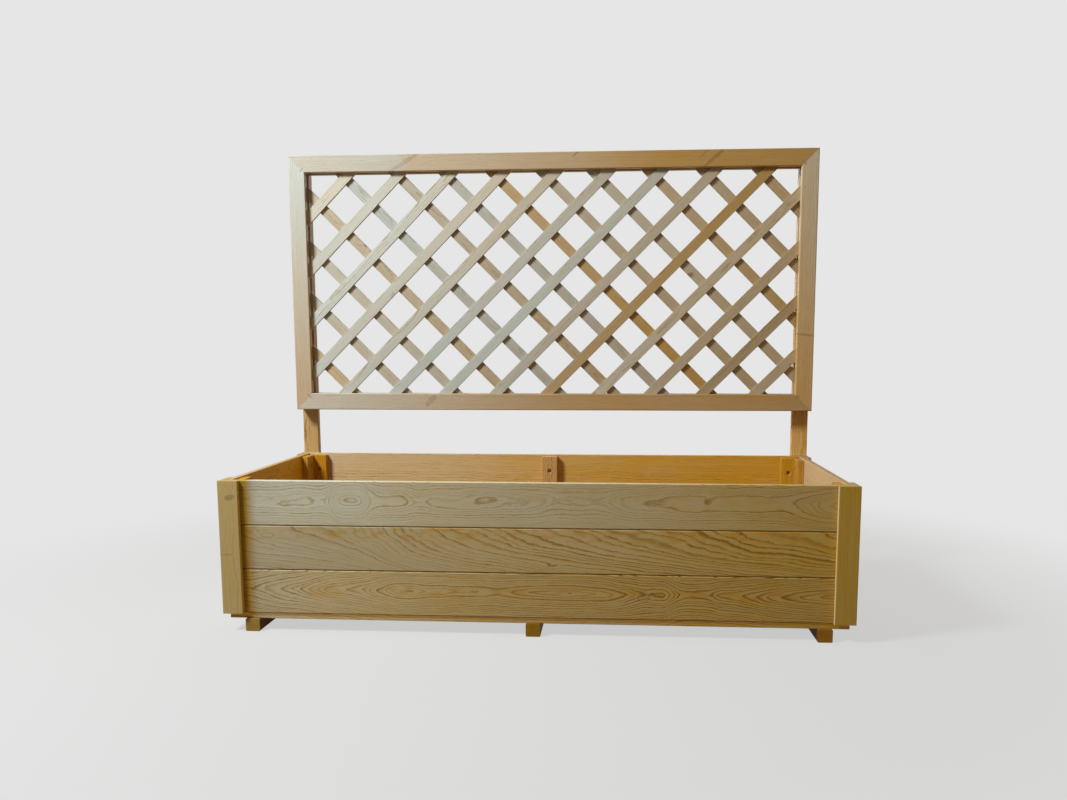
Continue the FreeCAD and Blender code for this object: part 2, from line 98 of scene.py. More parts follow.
# The same for the back layer, from the lower left one to the upper right one.
BACK_SLATS = (
    (0.57, 1.05), (0.19, 0.99), (0.16, 0.98), (0.40, 0.93), (0.05, 0.90), (0.45, 0.87),
    (0.11, 0.90), (0.85, 0.94), (0.38, 0.94), (0.43, 1.0), (0.73, 0.98), (0.57, 0.98),
    (0.70, 1.0),
)


class Knot(NamedTuple):
    """A branch in a piece: place, radius and push on the rings in mm, and its look."""

    along: float
    across: float
    radius: float
    stretch: float
    push: float
    dark: float
    slant: float = 0.0


SLAT_KNOTS = {
    "back_slat_left_1": (Knot(-147, 3, 7.0, 0.8, 5.0, 0.9, 0.3),),
    "back_slat_right_1": (Knot(-4, 4, 7.0, 0.8, 5.0, 0.8, 0.3),),
    "front_slat_left_1": (Knot(-60, -2, 8.0, 0.9, 5.0, 0.35, 0.6),),
}


# ---- settings ---------------------------------------------------------------

def colour_setting(name, description, default):
    """A colour for the sidebar."""
    return FloatVectorProperty(name=name, description=description, subtype="COLOR",
                               size=3, min=0, max=1, default=default)


class PlanterTimber(bpy.types.PropertyGroup):
    """Colours and grain that all the timber shares."""

    straw: colour_setting("Straw", "Cool pale wood", STRAW)
    gold: colour_setting("Gold", "Warm wood", GOLD)
    straw_line: colour_setting("Straw line", "Late wood in cool pale wood", STRAW_LINE)
    gold_line: colour_setting("Gold line", "Late wood in warm wood", GOLD_LINE)
    knot: colour_setting("Knot", "Heart of a knot", KNOT_WOOD)
    bump: FloatProperty(
        name="Bump", description="Height of the grain", default=0.00025,
        min=0, max=0.002, unit="LENGTH")
    arris: FloatProperty(
        name="Arris", description="Width of the eased edges", default=0.0005,
        min=0, max=0.002, unit="LENGTH")


class PlanterStudio(bpy.types.PropertyGroup):
    """Lamps and background."""

    key_power: FloatProperty(
        name="Key lamp", description="Power of the soft lamp at the upper left",
        default=59.0, min=0, unit="POWER")
    rear_power: FloatProperty(
        name="Rear lamp", description="Power of the soft lamp behind",
        default=22.0, min=0, unit="POWER")
    ambient: FloatProperty(
        name="Room light", description="Light that comes from all round",
        default=0.18, min=0)
    backdrop: colour_setting("Backdrop", "Colour behind the planter", (0.79, 0.79, 0.79))


# ---- node wiring ------------------------------------------------------------

class Wiring:
    """Adds nodes to one node tree and joins them."""

    ROW = 12                             # nodes in a row
    SPACING = (200, -260)
    SEED_STRIDE = (17.13, 7.31, 3.77)    # how far one seed moves a noise

    def __init__(self, tree):
        self.tree = tree
        self.count = 0

    def put(self, kind, **settings):
        """New node with these settings, set out in rows."""
        node = self.tree.nodes.new(kind)
        row, column = divmod(self.count, self.ROW)
        node.location = (self.SPACING[0] * column, self.SPACING[1] * row)
        self.count += 1
        for key, value in settings.items():
            setattr(node, key, value)
        return node

    def feed(self, socket, value):
        """Join a socket to another, or set a plain value on it."""
        if isinstance(value, bpy.types.NodeSocket):
            self.tree.links.new(value, socket)
        else:
            socket.default_value = value

    def maths(self, operation, *values):
        """Result of one operation on numbers or sockets."""
        node = self.put("ShaderNodeMath", operation=operation)
        for socket, value in zip(node.inputs, values):
            self.feed(socket, value)
        return node.outputs[0]

    def span(self, value, low, high, start=0.0, end=1.0, kind="LINEAR"):
        """What lies between low and high, carried over to start and end."""
        node = self.put("ShaderNodeMapRange", interpolation_type=kind)
        for socket, item in zip(node.inputs, (value, low, high, start, end)):
            self.feed(socket, item)
        return node.outputs[0]

    def step(self, value, *limits):
        """The same along a smooth step."""
        return self.span(value, *limits, kind="SMOOTHSTEP")

    def mix(self, factor, first, second, blend="MIX"):
        """Two colours mixed."""
        node = self.put("ShaderNodeMix", data_type="RGBA", blend_type=blend,
                        clamp_factor=False)
        self.feed(node.inputs[0], factor)
        self.feed(node.inputs[6], first)
        self.feed(node.inputs[7], second)
        return node.outputs[2]

    def noise(self, vector, detail=2.0, roughness=0.5):
        """Soft noise with one cell for each unit of the vector."""
        node = self.put("ShaderNodeTexNoise")
        self.feed(node.inputs["Vector"], vector)
        node.inputs["Scale"].default_value = 1.0
        node.inputs["Detail"].default_value = detail
        node.inputs["Roughness"].default_value = roughness
        return node.outputs[0]

    def parts(self, vector):
        """The three numbers of a vector."""
        node = self.put("ShaderNodeSeparateXYZ")
        self.feed(node.inputs[0], vector)
        return node.outputs[0], node.outputs[1], node.outputs[2]

    def join(self, x, y, z):
        """A vector of three numbers."""
        node = self.put("ShaderNodeCombineXYZ")
        for socket, value in zip(node.inputs, (x, y, z)):
            self.feed(socket, value)
        return node.outputs[0]

    def vectors(self, operation, first, second):
        """Sum or product of two vectors."""
        node = self.put("ShaderNodeVectorMath", operation=operation)
        self.feed(node.inputs[0], first)
        self.feed(node.inputs[1], second)
        return node.outputs[0]

    def stretched(self, vector, lengths, seed):
        """A vector in units of the three lengths, moved away by the seed."""
        scaled = self.vectors("DIVIDE", vector, lengths)
        shift = self.join(*(self.maths("MULTIPLY", seed, stride)
                            for stride in self.SEED_STRIDE))
        return self.vectors("ADD", scaled, shift)

    def around(self, noise, amount, base=0.0):
        """A base changed by a noise that is counted from its middle."""
        return self.maths("MULTIPLY_ADD", self.maths("SUBTRACT", noise, 0.5), amount, base)

    def group(self, name, **values):
        """A shared effect with its own values; underscores stand for spaces."""
        node = self.put("ShaderNodeGroup", node_tree=bpy.data.node_groups[name])
        for key, value in values.items():
            self.feed(node.inputs[key.replace("_", " ")], value)
        return node


def new_material(name):
    """An empty material and its wiring."""
    material = bpy.data.materials.new(name)
    material.use_nodes = True
    material.node_tree.nodes.clear()
    return material, Wiring(material.node_tree)


def new_effect(name, inputs, outputs):
    """A node group; returns its wiring, its inputs and its output node."""
    tree = bpy.data.node_groups.new(name, "ShaderNodeTree")
    kinds = {1: "NodeSocketFloat", 3: "NodeSocketVector", 4: "NodeSocketColor"}
    for label, value in inputs.items():
        size = len(value) if isinstance(value, tuple) else 1
        socket = tree.interface.new_socket(
            name=label, in_out="INPUT", socket_type=kinds[size])
        socket.default_value = value
    for label, size in outputs.items():
        tree.interface.new_socket(
            name=label, in_out="OUTPUT", socket_type=kinds[size])
    wiring = Wiring(tree)
    entry = wiring.put("NodeGroupInput").outputs
    return wiring, entry, wiring.put("NodeGroupOutput").inputs


def build_pith_rings():
    """Distance of a point from a pith that wanders behind the face, in mm."""
    w, entry, out = new_effect(
        "Pith Rings",
        {"Vector": (0.0, 0.0, 0.0), "Pith Depth": 40.0, "Pith Across": 0.0,
         "Swing": 0.0, "Wander": 200.0, "Roundness": 2.0, "Seed": 0.0},
        {"Rings": 1})
    along, deep, across = w.parts(w.vectors("MULTIPLY", entry["Vector"], TO_MM))
    seed_shift = 9.7
    depth_lane, side_lane = 0.5, 7.5
    place = w.maths("DIVIDE", along, entry["Wander"])
    place = w.maths("ADD", place, w.maths("MULTIPLY", entry["Seed"], seed_shift))
    drift = w.noise(w.join(place, entry["Seed"], depth_lane), detail=1.0)
    side_drift = w.noise(w.join(place, entry["Seed"], side_lane), detail=1.0)
    drift = w.around(drift, 2.0)
    depth = w.maths("MULTIPLY_ADD", drift, entry["Swing"], entry["Pith Depth"])
    depth = w.maths("SUBTRACT", depth, deep)
    side = w.around(side_drift, entry["Swing"], entry["Pith Across"])
    side = w.maths("SUBTRACT", across, side)
    power = entry["Roundness"]
    side = w.maths("POWER", w.maths("ABSOLUTE", side), power)
    depth = w.maths("POWER", w.maths("ABSOLUTE", depth), power)
    total = w.maths("ADD", side, depth)
    w.feed(out["Rings"], w.maths("POWER", total, w.maths("DIVIDE", 1.0, power)))


def build_swept_rings():
    """Rings that leave the upper edge of a board and level out near the lower one."""
    w, entry, out = new_effect(
        "Swept Rings",
        {"Vector": (0.0, 0.0, 0.0), "Turns": 0.0, "Ring Width": 3.5, "Steepness": 9.6,
         "Bend Height": 43.0, "Low Edge": -37.0},
        {"Rings": 1})
    _, deep, across = w.parts(w.vectors("MULTIPLY", entry["Vector"], TO_MM))
    height = w.maths("MAXIMUM", w.maths("SUBTRACT", across, entry["Low Edge"]), 0.0)
    bend = w.maths("ARCTANGENT", w.maths("DIVIDE", height, entry["Bend Height"]))
    turns = w.maths("MULTIPLY_ADD", bend, entry["Steepness"], entry["Turns"])
    rings = w.maths("MULTIPLY", turns, entry["Ring Width"])
    gain_inward = 0.6
    w.feed(out["Rings"], w.maths("MULTIPLY_ADD", deep, gain_inward, rings))


def build_knot():
    """A branch that runs through the board and pushes the rings aside."""
    w, entry, out = new_effect(
        "Pine Knot",
        {"Vector": (0.0, 0.0, 0.0), "Rings": 0.0, "Knot": 0.0, "Along": 0.0,
         "Across": 0.0, "Radius": 6.0, "Stretch": 1.3, "Push": 8.0, "Dark": 0.5,
         "Slant": 0.0, "Seed": 0.0},
        {"Rings": 1, "Knot": 1})
    vector = w.vectors("MULTIPLY", entry["Vector"], TO_MM)
    along, _, across = w.parts(vector)
    side = w.maths("SUBTRACT", across, entry["Across"])
    offset = w.maths("SUBTRACT", along, entry["Along"])
    offset = w.maths("SUBTRACT", offset, w.maths("MULTIPLY", side, entry["Slant"]))
    offset = w.maths("DIVIDE", offset, entry["Stretch"])
    squares = w.maths("MULTIPLY_ADD", offset, offset, w.maths("MULTIPLY", side, side))
    reach = w.maths("DIVIDE", w.maths("SQRT", squares), entry["Radius"])
    wobble = w.noise(w.stretched(vector, WOBBLE, entry["Seed"]))
    unevenness = 0.9
    reach = w.around(wobble, unevenness, reach)

    bulge_fall = -0.22
    fall = w.maths("MULTIPLY", w.maths("MULTIPLY", reach, reach), bulge_fall)
    bulge = w.maths("EXPONENT", fall)
    w.feed(out["Rings"], w.maths("MULTIPLY_ADD", bulge, entry["Push"], entry["Rings"]))

    core_edge = (0.55, 1.15, 1.0, 0.0)
    year_turns, year_depth, year_base = 15.0, 0.2, 0.8
    turns = w.maths("SINE", w.maths("MULTIPLY", reach, year_turns))
    core = w.maths("MULTIPLY", w.step(reach, *core_edge),
                   w.maths("MULTIPLY_ADD", turns, year_depth, year_base))
    core = w.maths("MULTIPLY", core, entry["Dark"])

    bark_place = 0.95
    bark_edge = (0.02, 0.25, 0.5, 0.0)
    bark = w.step(w.maths("ABSOLUTE", w.maths("SUBTRACT", reach, bark_place)), *bark_edge)
    bark_gain, bark_base = 0.4, 0.7
    bark = w.maths("MULTIPLY", bark,
                   w.maths("MULTIPLY_ADD", entry["Dark"], bark_gain, bark_base))
    w.feed(out["Knot"], w.maths("MAXIMUM", w.maths("MAXIMUM", core, bark), entry["Knot"]))


def year_lines(w, entry, noise):
    """Late wood and dark line of each year, and how strongly they are drawn."""
    bends = (9.0, 2.4, 1.5)              # mm that each noise bends the rings by
    years_apart, unevenness = 0.41, 1.3
    year_seed = 3.3
    strengths = (0.0, 1.0, 0.35, 1.15)
    patches = (0.3, 0.6, 0.45, 1.1)
    late_wood, dark_line = (0.36, 0.84), (0.58, 0.90)
    year_end = (0.92, 1.0, 1.0, 0.0)

    bend = w.around(noise(BROAD, detail=1.0), bends[0])
    ripple = w.around(noise(MIDDLING, detail=1.0), bends[1])
    ripple = w.around(noise(CLOSE, lane=2.2, detail=1.0), bends[2], ripple)
    bend = w.maths("MULTIPLY", w.maths("ADD", bend, ripple), entry["Waviness"])
    rings = w.maths("ADD", entry["Rings"], bend)
    tight = w.maths("MULTIPLY_ADD", rings, entry["Tightening"], 1.0)
    turn = w.maths("MULTIPLY", w.maths("DIVIDE", rings, entry["Ring Width"]), tight)

    uneven = w.put("ShaderNodeTexNoise", noise_dimensions="1D")
    w.feed(uneven.inputs["W"], w.maths("MULTIPLY_ADD", turn, years_apart, entry["Seed"]))
    uneven.inputs["Scale"].default_value = 1.0
    uneven.inputs["Detail"].default_value = 1.0
    turn = w.around(uneven.outputs[0], unevenness, turn)
    phase = w.maths("FRACT", turn)

    year = w.put("ShaderNodeTexWhiteNoise", noise_dimensions="1D")
    number = w.maths("MULTIPLY_ADD", entry["Seed"], year_seed, w.maths("FLOOR", turn))
    w.feed(year.inputs["W"], number)
    strength = w.span(year.outputs[0], *strengths)
    strength = w.maths("MULTIPLY", strength, w.step(noise(PATCH, lane=8.8), *patches))
    strength = w.maths("MULTIPLY", strength, entry["Figure"])

    ending = w.step(phase, *year_end)
    late = w.maths("MULTIPLY", w.step(phase, *late_wood), ending)
    line = w.maths("MULTIPLY", w.step(phase, *dark_line), ending)
    return late, line, strength


def build_pine():
    """Colour, roughness and height of planed pine from its ring distance."""
    w, entry, out = new_effect(
        "Planed Pine",
        {"Vector": (0.0, 0.0, 0.0), "Rings": 0.0, "Knot": 0.0, "Seed": 0.0,
         "Ring Width": 3.5, "Tightening": 0.0, "Waviness": 1.0, "Figure": 1.0,
         "Resin": 0.0, "Warmth": 0.5, "Tone": 1.0, "Straw": (*STRAW, 1.0),
         "Gold": (*GOLD, 1.0), "Straw Line": (*STRAW_LINE, 1.0),
         "Gold Line": (*GOLD_LINE, 1.0), "Knot Wood": (*KNOT_WOOD, 1.0)},
        {"Color": 4, "Roughness": 1, "Height": 1})
    vector = w.vectors("MULTIPLY", entry["Vector"], TO_MM)

    def noise(cells, lane=0.0, detail=2.0, roughness=0.5):
        """Noise in the piece; a lane keeps it apart from the others."""
        seed = w.maths("ADD", entry["Seed"], lane) if lane else entry["Seed"]
        return w.noise(w.stretched(vector, cells, seed), detail, roughness)

    late, line, strength = year_lines(w, entry, noise)
    fibre = noise(FIBRE, detail=3.0, roughness=0.6)
    dash_edge = (0.70, 0.80)
    dash = w.step(noise(DASH, detail=0.0), *dash_edge)

    cloud_warmth, streak_warmth = 0.35, 0.25
    coolest, warmest = -0.2, 1.15
    warm = w.around(noise(CLOUD, lane=4.4), cloud_warmth, entry["Warmth"])
    warm = w.around(noise(STREAK), streak_warmth, warm)
    warm = w.maths("MINIMUM", w.maths("MAXIMUM", warm, coolest), warmest)
    colour = w.mix(warm, entry["Straw"], entry["Gold"])
    dark = w.mix(warm, entry["Straw Line"], entry["Gold Line"])

    resin_edge = (0.47, 0.66)
    resin = w.maths("MULTIPLY", w.step(noise(RESIN, lane=6.6), *resin_edge), entry["Resin"])
    amber = w.maths("MAXIMUM", w.maths("MULTIPLY", late, strength), resin)
    colour = w.mix(w.maths("MINIMUM", amber, 1.0), colour, dark)

    brightness, line_shade, darkest_line = 1.17, 0.50, 0.6
    fibre_shade, dash_shade = 0.22, -0.12
    drawn = w.maths("MULTIPLY", w.maths("MULTIPLY", line, strength), line_shade)
    shade = w.maths("SUBTRACT", brightness, w.maths("MINIMUM", drawn, darkest_line))
    shade = w.maths("MULTIPLY", shade, w.around(fibre, fibre_shade, 1.0))
    shade = w.maths("MULTIPLY", shade, w.maths("MULTIPLY_ADD", dash, dash_shade, 1.0))
    shade = w.maths("MULTIPLY", shade, entry["Tone"])
    colour = w.mix(entry["Knot"], colour, entry["Knot Wood"])
    colour = w.mix(1.0, colour, w.join(shade, shade, shade), blend="MULTIPLY")
    w.feed(out["Color"], colour)

    roughness, late_gloss, fibre_roughness = 0.62, -0.10, 0.18
    rough = w.maths("MULTIPLY_ADD", late, late_gloss, roughness)
    w.feed(out["Roughness"], w.around(fibre, fibre_roughness, rough))

    late_height, fibre_height, dash_height = 0.45, 0.5, -0.4
    height = w.maths("MULTIPLY", fibre, fibre_height)
    height = w.maths("MULTIPLY_ADD", late, late_height, height)
    w.feed(out["Height"], w.maths("MULTIPLY_ADD", dash, dash_height, height))


def build_effects():
    """Build all shared effects."""
    build_pith_rings()
    build_swept_rings()
    build_knot()
    build_pine()


# ---- timber -----------------------------------------------------------------

@dataclass
class Cut:
    """How one piece was cut from the log, and how it has coloured.

    Lengths are in mm from the middle of the piece: along the grain, into the
    piece and across it.  Warmth, tone and figure are one number each, or pairs of
    a place from left to right of the planter and the value there.  Warmth that
    rises from left to right is partly the wood's own colour and partly painted
    light: cool where the key lamp is strong, warm where it is weak.
    """

    grain: tuple
    seed: int
    warmth: object = 0.5           # 0 is straw, 1 is gold
    tone: object = 1.0             # brightness
    figure: object = 0.8           # how strongly the rings are drawn
    ring: float = 3.5              # width of a year
    tight: float = 0.0             # years that narrow away from the pith
    waviness: float = 1.0
    roundness: float = 2.0         # 2 for round rings, less for pointed ones
    depth: float = 40.0            # the pith's place into the piece
    across: float = 0.0            # the pith's place across the piece
    swing: float = 12.0            # how far the pith swings
    wander: float = 220.0          # length of one swing
    course: tuple = ()             # pairs of a place along the grain and the depth there
    sweep: tuple = ()              # pairs of a place along the grain and the years passed
    knots: tuple = ()
    repeat: tuple = ()             # pitch and shift of equal pieces in one node
    drift: tuple = ()              # warmth that each of them adds
    tones: tuple = ()              # tone of each of them
    slope: float = 0.0             # warmth gained per metre along the grain, partly painted light
    face: tuple = ()               # direction, and warmth and share of tone painted there as light and shade
    seam: tuple = ()               # place of the lower shoulder, and the strength of the light painted on the tongue
    resin: tuple = ()              # middle, reach and strength of a band of amber patches
    red: float = 0.0               # turns gold redder
    rosy: float = 0.0              # turns gold and straw pinker
    sheen: float = 0.35            # low for sawn timber


def middle_of(node):
    """Middle of a node's box, in metres."""
    low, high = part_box(node)
    return (Vector(low) + Vector(high)) / 2


def piece_space(w, cut, middle):
    """Coordinates along, into and across a piece, in metres."""
    turn = Matrix(cut.grain)
    mapping = w.put("ShaderNodeMapping")
    mapping.inputs["Rotation"].default_value = turn.to_euler("XYZ")
    mapping.inputs["Location"].default_value = -(turn @ middle)
    w.feed(mapping.inputs["Vector"], w.put("ShaderNodeTexCoord").outputs["Object"])
    return mapping.outputs[0]


def drawn_curve(w, place, points, reach, low, high):
    """A value drawn through points, from -reach to reach in mm."""
    node = w.put("ShaderNodeFloatCurve")
    curve = node.mapping.curves[0]
    spots = [((at + reach) / (2 * reach), (value - low) / (high - low))
             for at, value in points]
    curve.points[0].location = spots[0]
    curve.points[1].location = spots[-1]
    for spot in spots[1:-1]:
        curve.points.new(*spot)
    node.mapping.update()
    w.feed(node.inputs["Value"], w.span(place, -reach * MM, reach * MM))
    return w.maths("MULTIPLY_ADD", node.outputs[0], high - low, low)


def by_number(w, number, values):
    """One of several values, by a whole number that is 0 for the middle one."""
    half = len(values) // 2
    points = list(enumerate(values, -half))
    place = w.maths("MULTIPLY", number, MM)
    return drawn_curve(w, place, points, float(half), *SLAT_LOOKS)


def by_place(w, place, value, limits):
    """A plain value, or one that is drawn from left to right of the planter."""
    if isinstance(value, tuple):
        return drawn_curve(w, place, value, HALF_WIDTH, *limits)
    return value


def painted_face_shading(w, cut, warmth, tone):
    """Painted light and shade: warmth and tone changed on the faces that look one way."""
    direction, warm, share = cut.face
    facing = w.put("ShaderNodeVectorMath", operation="DOT_PRODUCT")
    w.feed(facing.inputs[0], w.put("ShaderNodeTexCoord").outputs["Normal"])
    facing.inputs[1].default_value = direction
    near, full = 0.75, 0.95
    # painted light and shade on the faces that look this way
    painted_shading_mask = w.step(facing.outputs["Value"], near, full)
    warmth = w.maths("MULTIPLY_ADD", painted_shading_mask, warm, warmth)
    return warmth, w.maths("MULTIPLY", tone, w.maths("MULTIPLY_ADD", painted_shading_mask, share, 1.0))


def joint_dust_and_painted_light(w, vector, seam, tone):
    """Dust and painted shade in the joint under a board; tone with painted light and shade on
    its tongue and a painted highlight along its upper edge.
    """
    level, share = seam
    across = w.parts(vector)[2]

    def rise(low, high, start, end):
        """Smooth step between two heights in mm above the shoulder."""
        return w.step(across, (level + low) * MM, (level + high) * MM, start, end)

    joint = 0.6                          # middle of the dusty line of painted shade
    narrow, wide, strength = 0.8, 1.9, 0.75
    line = w.maths("ABSOLUTE", w.maths("SUBTRACT", across, (level + joint) * MM))
    # Dust and painted shade along the joint, in the knot colour.
    dust_and_shade = w.step(line, narrow * MM, wide * MM, strength, 0.0)
    # Painted light on the tongue, which the board's edge shades: lighter at its top, darker
    # at its foot.
    graded_tongue_light = rise(-10.5, -5.0, 0.66 * share, 1.22 * share)
    tongue = rise(-1.5, -0.8, graded_tongue_light, 1.0)
    # Painted highlight along the board's upper edge.
    chamfer_highlight = rise(84.6, 85.6, 1.0, 1.3)
    return dust_and_shade, w.maths("MULTIPLY", w.maths("MULTIPLY", tongue, chamfer_highlight), tone)


def each_piece(w, cut, vector, warmth, tone):
    """Space, seed, warmth and tone of each of the equal pieces in one node."""
    seed_step = 1.37
    along, deep, across = w.parts(vector)
    pitch, shift = (length * MM for length in cut.repeat)
    moved = w.maths("SUBTRACT", across, shift)
    number = w.maths("ROUND", w.maths("DIVIDE", moved, pitch))
    seed = w.maths("MULTIPLY_ADD", number, seed_step, float(cut.seed))
    local = w.maths("MULTIPLY_ADD", number, -pitch, moved)
    if cut.drift:
        warmth = w.maths("ADD", by_number(w, number, cut.drift), warmth)
        tone = by_number(w, number, cut.tones)
    return w.join(along, deep, local), seed, warmth, tone


def ring_distance(w, cut, vector, seed):
    """Distance of a point from the pith, counted across the rings, in mm."""
    if cut.sweep:
        turns = drawn_curve(w, w.parts(vector)[0], cut.sweep, HALF_WIDTH, *TURNS)
        return w.group("Swept Rings", Vector=vector, Turns=turns,
                       Ring_Width=cut.ring).outputs["Rings"]
    depth = cut.depth
    if cut.course:
        depth = drawn_curve(w, w.parts(vector)[0], cut.course, HALF_WIDTH, *DEPTHS)
    return w.group("Pith Rings", Vector=vector, Pith_Depth=depth, Pith_Across=cut.across,
                   Swing=cut.swing, Wander=cut.wander, Roundness=cut.roundness,
                   Seed=seed).outputs["Rings"]


def resin_band(w, cut, vector):
    """Strength of the amber patches, within a band along the piece."""
    if not cut.resin:
        return 0.0
    centre, reach, strength = cut.resin
    full = 0.4 * reach
    away = w.maths("ABSOLUTE", w.maths("SUBTRACT", w.parts(vector)[2], centre * MM))
    return w.step(away, full * MM, reach * MM, strength, 0.0)


def tinted(colour, change, amount):
    """A colour with an amount of a change, part by part."""
    return tuple(value * (1 + part * amount) for value, part in zip(colour, change))


def pine_material(name, cut, middle):
    """A material for one piece of pine."""
    look = bpy.context.scene.planter_timber
    material, w = new_material(name)
    vector = piece_space(w, cut, middle)
    place = w.parts(w.put("ShaderNodeTexCoord").outputs["Object"])[0]
    warmth = by_place(w, place, cut.warmth, WARMTHS)
    figure = by_place(w, place, cut.figure, FIGURES)
    tone = by_place(w, place, cut.tone, TONES)
    seed, knot = float(cut.seed), 0.0
    if cut.repeat:
        vector, seed, warmth, tone = each_piece(w, cut, vector, warmth, tone)
    if cut.slope:
        warmth = w.maths("MULTIPLY_ADD", w.parts(vector)[0], cut.slope, warmth)
    if cut.face:
        warmth, tone = painted_face_shading(w, cut, warmth, tone)
    # Dust and painted shade in the joint take the knot colour too.
    if cut.seam:
        knot, tone = joint_dust_and_painted_light(w, vector, cut.seam, tone)
    rings = ring_distance(w, cut, vector, seed)
    knot_seed_step = 0.7
    for number, branch in enumerate(cut.knots):
        values = {key.title(): value for key, value in branch._asdict().items()}
        node = w.group("Pine Knot", Vector=vector, Rings=rings, Knot=knot,
                       Seed=cut.seed + number * knot_seed_step, **values)
        rings, knot = node.outputs["Rings"], node.outputs["Knot"]
    gold = tinted(tinted(look.gold, RED_GOLD, cut.red), ROSY_GOLD, cut.rosy)
    straw = tinted(look.straw, ROSY_STRAW, cut.rosy)
    wood = w.group(
        "Planed Pine", Vector=vector, Rings=rings, Knot=knot, Seed=seed,
        Ring_Width=cut.ring, Tightening=cut.tight, Waviness=cut.waviness,
        Figure=figure, Resin=resin_band(w, cut, vector), Warmth=warmth, Tone=tone,
        Straw=(*straw, 1.0), Gold=(*gold, 1.0), Straw_Line=(*look.straw_line, 1.0),
        Gold_Line=(*look.gold_line, 1.0), Knot_Wood=(*look.knot, 1.0))
    bump = w.put("ShaderNodeBump")
    bump.inputs["Strength"].default_value = 1.0
    bump.inputs["Distance"].default_value = look.bump
    w.feed(bump.inputs["Height"], wood.outputs["Height"])
    shader = w.put("ShaderNodeBsdfPrincipled")
    shader.inputs["Specular IOR Level"].default_value = cut.sheen
    w.feed(shader.inputs["Base Color"], wood.outputs["Color"])
    w.feed(shader.inputs["Roughness"], wood.outputs["Roughness"])
    w.feed(shader.inputs["Normal"], bump.outputs[0])
    w.feed(w.put("ShaderNodeOutputMaterial").inputs["Surface"], shader.outputs[0])
    return material


def dress(node, material):
    """Give a node of the frame its material."""
    piece = NODES[node]
    for slot in piece.material_slots:
        slot.material = material


def ease(node):
    """Round the sharp edges of a node a little, as sandpaper does."""
    piece = NODES[node]
    weld = piece.modifiers.new("Join corners", "WELD")
    weld.merge_threshold = 0.01 * MM
    bevel = piece.modifiers.new("Eased edges", "BEVEL")
    bevel.width = bpy.context.scene.planter_timber.arris
    bevel.segments = 2
    bevel.limit_method = "ANGLE"
    bevel.angle_limit = math.radians(40)
    bevel.harden_normals = True


def timber(node, cut):
    """Finish one node as a piece of pine."""
    dress(node, pine_material(f"{node}_pine", cut, middle_of(node)))
    ease(node)


# ---- operators --------------------------------------------------------------

class PLANTER_OT_front_boards(bpy.types.Operator):
    """Finish the three boards of the front wall"""

    bl_idname = "planter.front_boards"
    bl_label = "Front boards"

    def execute(self, context):
        # Painted shade beside the left trim: warmer, darker boards up to about 525 mm left of
        # the middle; warmth is painted at the right trim too.
        painted_shade_by_trim = ((-600, 1.3), (-550, 1.15))
        timber("front_board_top", Cut(
            ALONG_X, 11, ring=8.0, tight=0.025, waviness=0.75, across=13.0, swing=5.0,
            wander=160, seam=(SHOULDER, 1.0), resin=(24, 20, 0.35),
            warmth=(*painted_shade_by_trim, (-527, 0.08), (-400, 0.12), (-200, 0.36), (0, 0.45),
                    (200, 0.58), (400, 0.78), (545, 0.88), (600, 1.15)),
            tone=((-600, 0.80), (-551, 0.72), (-524, 1.02), (0, 1.02), (600, 1.02)),
            figure=((-600, 0.9), (-200, 0.75), (200, 0.62), (420, 0.9), (600, 1.3)),
            course=((-600, 37), (-543, 32), (-490, 29.5), (-440, 29), (-400, 31),
                    (-380, 22), (-347, 1), (-314, 22), (-285, 30), (-250, 29), (-216, 33),
                    (-175, 30.5), (-120, 29.5), (-60, 30), (0, 29.5), (58, 33.5),
                    (120, 34), (173, 31), (258, 27.5), (325, 25.5), (390, 26.5),
                    (440, 26), (500, 19), (540, 11), (600, 4)),
            knots=(Knot(325, 16, 5.0, 1.25, 3.0, 0.15),)))
        timber("front_board_middle", Cut(
            ALONG_X, 23, ring=4.0, waviness=0.95, seam=(SHOULDER, 1.0), resin=(46, 32, 1.0),
            warmth=(*painted_shade_by_trim, (-527, 0.42), (-400, 0.45), (-200, 0.62), (0, 0.72),
                    (200, 0.80), (400, 0.93), (545, 0.97), (600, 1.2)),
            tone=((-600, 0.72), (-551, 0.64), (-524, 0.88), (-450, 0.89), (-200, 0.96),
                  (100, 1.02), (600, 1.05)),
            figure=((-600, 0.85), (-100, 0.9), (120, 1.4), (600, 1.9)),
            sweep=((-600, 0), (-500, 1.6), (-400, 3.8), (-336, 5.6), (-280, 9), (-220, 12.8),
                   (-150, 15.4), (-60, 18.2), (60, 21), (200, 24), (330, 26.8), (450, 29),
                   (600, 31.4)),
            knots=(Knot(35, -25, 4.0, 1.5, 4.0, 0.0), Knot(-509, 30, 5.0, 2.2, 5.0, 0.0))))
        # Its tongue gets strong painted light against the shadow under the board's edge.
        timber("front_board_bottom", Cut(
            ALONG_X, 37, ring=4.0, tight=0.003, waviness=0.8, roundness=1.5, across=12.0,
            swing=5.0, wander=150, seam=(SHOULDER, 1.8), resin=(9, 16, 0.9),
            warmth=(*painted_shade_by_trim, (-527, 0.45), (-400, 0.55), (-200, 0.71), (0, 0.78),
                    (200, 0.84), (400, 0.96), (545, 0.98), (600, 1.2)),
            tone=((-600, 0.80), (-551, 0.72), (-524, 0.99), (0, 1.01), (600, 1.05)),
            figure=((-600, 1.5), (-100, 1.4), (20, 2.3), (600, 3.0)),
            course=((-600, 52), (-500, 43), (-459, 38), (-432, 34), (-390, 27), (-343, 20),
                    (-290, 10), (-240, 4), (-200, 6), (-172, 5), (-151, 8), (-100, 7),
                    (-67, 10), (-55, 9), (0, 5), (16, 4.5), (70, 3), (127, 4.5), (165, 10),
                    (208, 15.5), (245, 18.5), (300, 32), (354, 27), (389, 23), (420, 19),
                    (450, 15), (485, 10.5), (535, 5), (600, 1)),
            knots=(Knot(208, 7, 9.5, 1.15, 4.0, 0.2),)))
        return {"FINISHED"}


